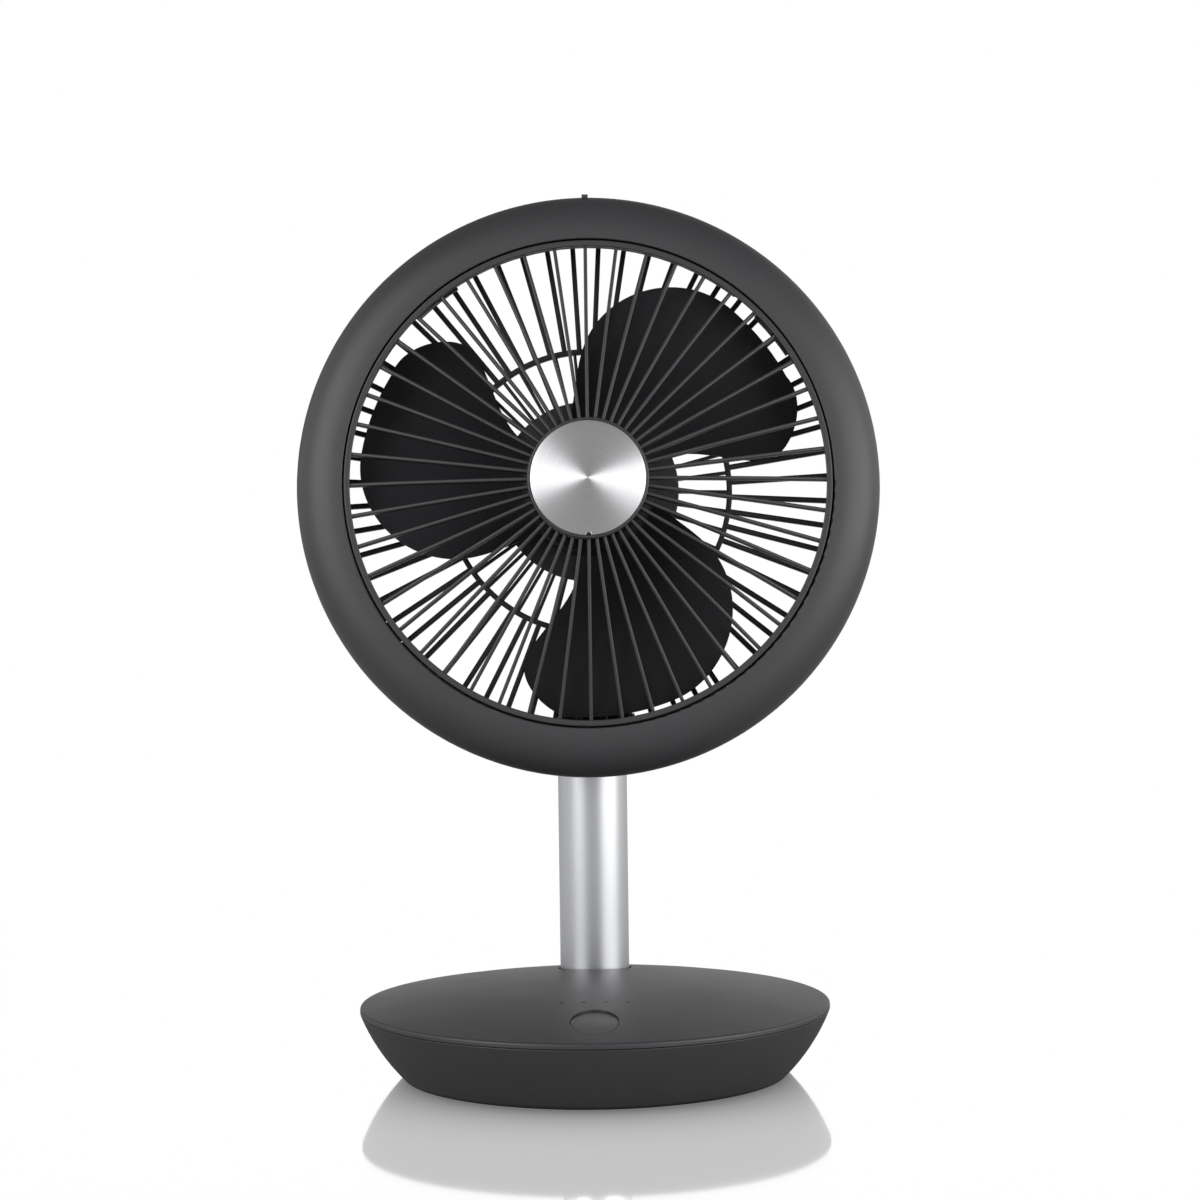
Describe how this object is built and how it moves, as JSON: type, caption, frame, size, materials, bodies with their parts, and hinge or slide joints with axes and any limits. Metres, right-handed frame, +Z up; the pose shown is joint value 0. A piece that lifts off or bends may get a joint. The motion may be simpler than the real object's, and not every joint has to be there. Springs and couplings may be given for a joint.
{
  "type": "air circulator fan",
  "caption": "Desktop air circulator: ribbed round head that tilts on an aluminium pole above a round weighted base with a push button and indicator lights.",
  "frame": {"origin": "centre of the base, on the table", "axes": "+Z up, +X to the right seen from the front, the fan blows towards -Y"},
  "size_m": [0.2062, 0.165, 0.3101],
  "materials": {
    "charcoal_shell": "fine matte moulded ABS",
    "charcoal_ribs": "fine matte moulded ABS",
    "black_plastic": "matte moulded plastic",
    "blade_plastic": "satin moulded plastic",
    "white_plastic": "natural acetal",
    "clear_plastic": "milky clear light guide",
    "spun_aluminium": "spun, circular brushing",
    "anodised_aluminium": "satin anodised",
    "black_metal": "black powder coat",
    "turned_steel": "turned, bright",
    "screw_steel": "blackened",
    "turned_brass": "turned",
    "copper_wire": "enamelled wire",
    "lamination": "pressed sheet",
    "magnet": "bonded ferrite",
    "cast_weight": "sheet steel, oiled",
    "black_rubber": "matte",
    "cell_sleeve": "shrink sleeve",
    "circuit_board": "solder mask"
  },
  "bodies": {
    "base": {"base_shell": "charcoal_shell", "top_cover": "charcoal_shell", "rubber_pad": "black_rubber", "base_screws": "screw_steel", "weight_plate": "cast_weight", "battery_tray": "black_plastic", "battery_cells": "cell_sleeve", "control_board": "circuit_board", "board_screws": "screw_steel", "tact_switch": "black_plastic", "light_pipe": "clear_plastic", "charging_board": "circuit_board", "charging_socket": "turned_steel", "swivel_housing": "black_plastic", "lower_washer": "white_plastic", "upper_thrust_washer": "white_plastic", "swivel_retainer": "turned_steel", "swivel_screws": "screw_steel"},
    "button": {"power_button": "charcoal_shell", "switch_plunger": "white_plastic"},
    "pole": {"pole_foot": "turned_steel", "pole_tube": "anodised_aluminium", "neck_screw": "screw_steel", "knuckle": "black_metal"},
    "head": {"tilt_bracket": "black_metal", "bracket_screws": "screw_steel", "friction_washers": "white_plastic", "tilt_pin": "turned_steel", "tilt_spring_washer": "turned_steel", "tilt_nut": "turned_steel", "front_ring": "charcoal_shell", "rear_shell": "charcoal_shell", "head_screws": "screw_steel", "rear_grille": "black_plastic", "motor_bearings": "turned_steel", "bearing_tube": "turned_brass", "stator_core": "lamination", "stator_windings": "copper_wire", "driver_board": "circuit_board", "motor_cover": "black_plastic", "motor_screws": "screw_steel"},
    "rotor": {"rotor": "blade_plastic", "rotor_cap": "blade_plastic", "rotor_cup": "turned_steel", "magnet_ring": "magnet", "motor_shaft": "turned_steel"},
    "grille": {"front_grille": "charcoal_ribs", "badge": "spun_aluminium"}
  },
  "joints": [
    {"name": "button_press", "type": "slide", "parent": "base", "child": "button", "axis": [0, 0, -1], "range_m": [0, 0.0008], "stiffness_N_per_m": 500, "springref_m": -0.003},
    {"name": "pole_swivel", "type": "hinge", "parent": "base", "child": "pole", "pos_m": [0, 0.0385, 0.0166], "axis": [0, 0, 1], "range_deg": [-45, 45]},
    {"name": "head_tilt", "type": "hinge", "parent": "pole", "child": "head", "pos_m": [0, 0.0385, 0.1214], "axis": [-1, 0, 0], "range_deg": [-7, 76]},
    {"name": "rotor_spin", "type": "hinge", "parent": "head", "child": "rotor", "pos_m": [0, 0.0127, 0.20668], "axis": [0, -0.9925, 0.1219], "continuous": true},
    {"name": "grille_lock", "type": "hinge", "parent": "head", "child": "grille", "pos_m": [0, 0.0127, 0.20668], "axis": [0, -0.9925, 0.1219], "range_deg": [0, 6]}
  ]
}
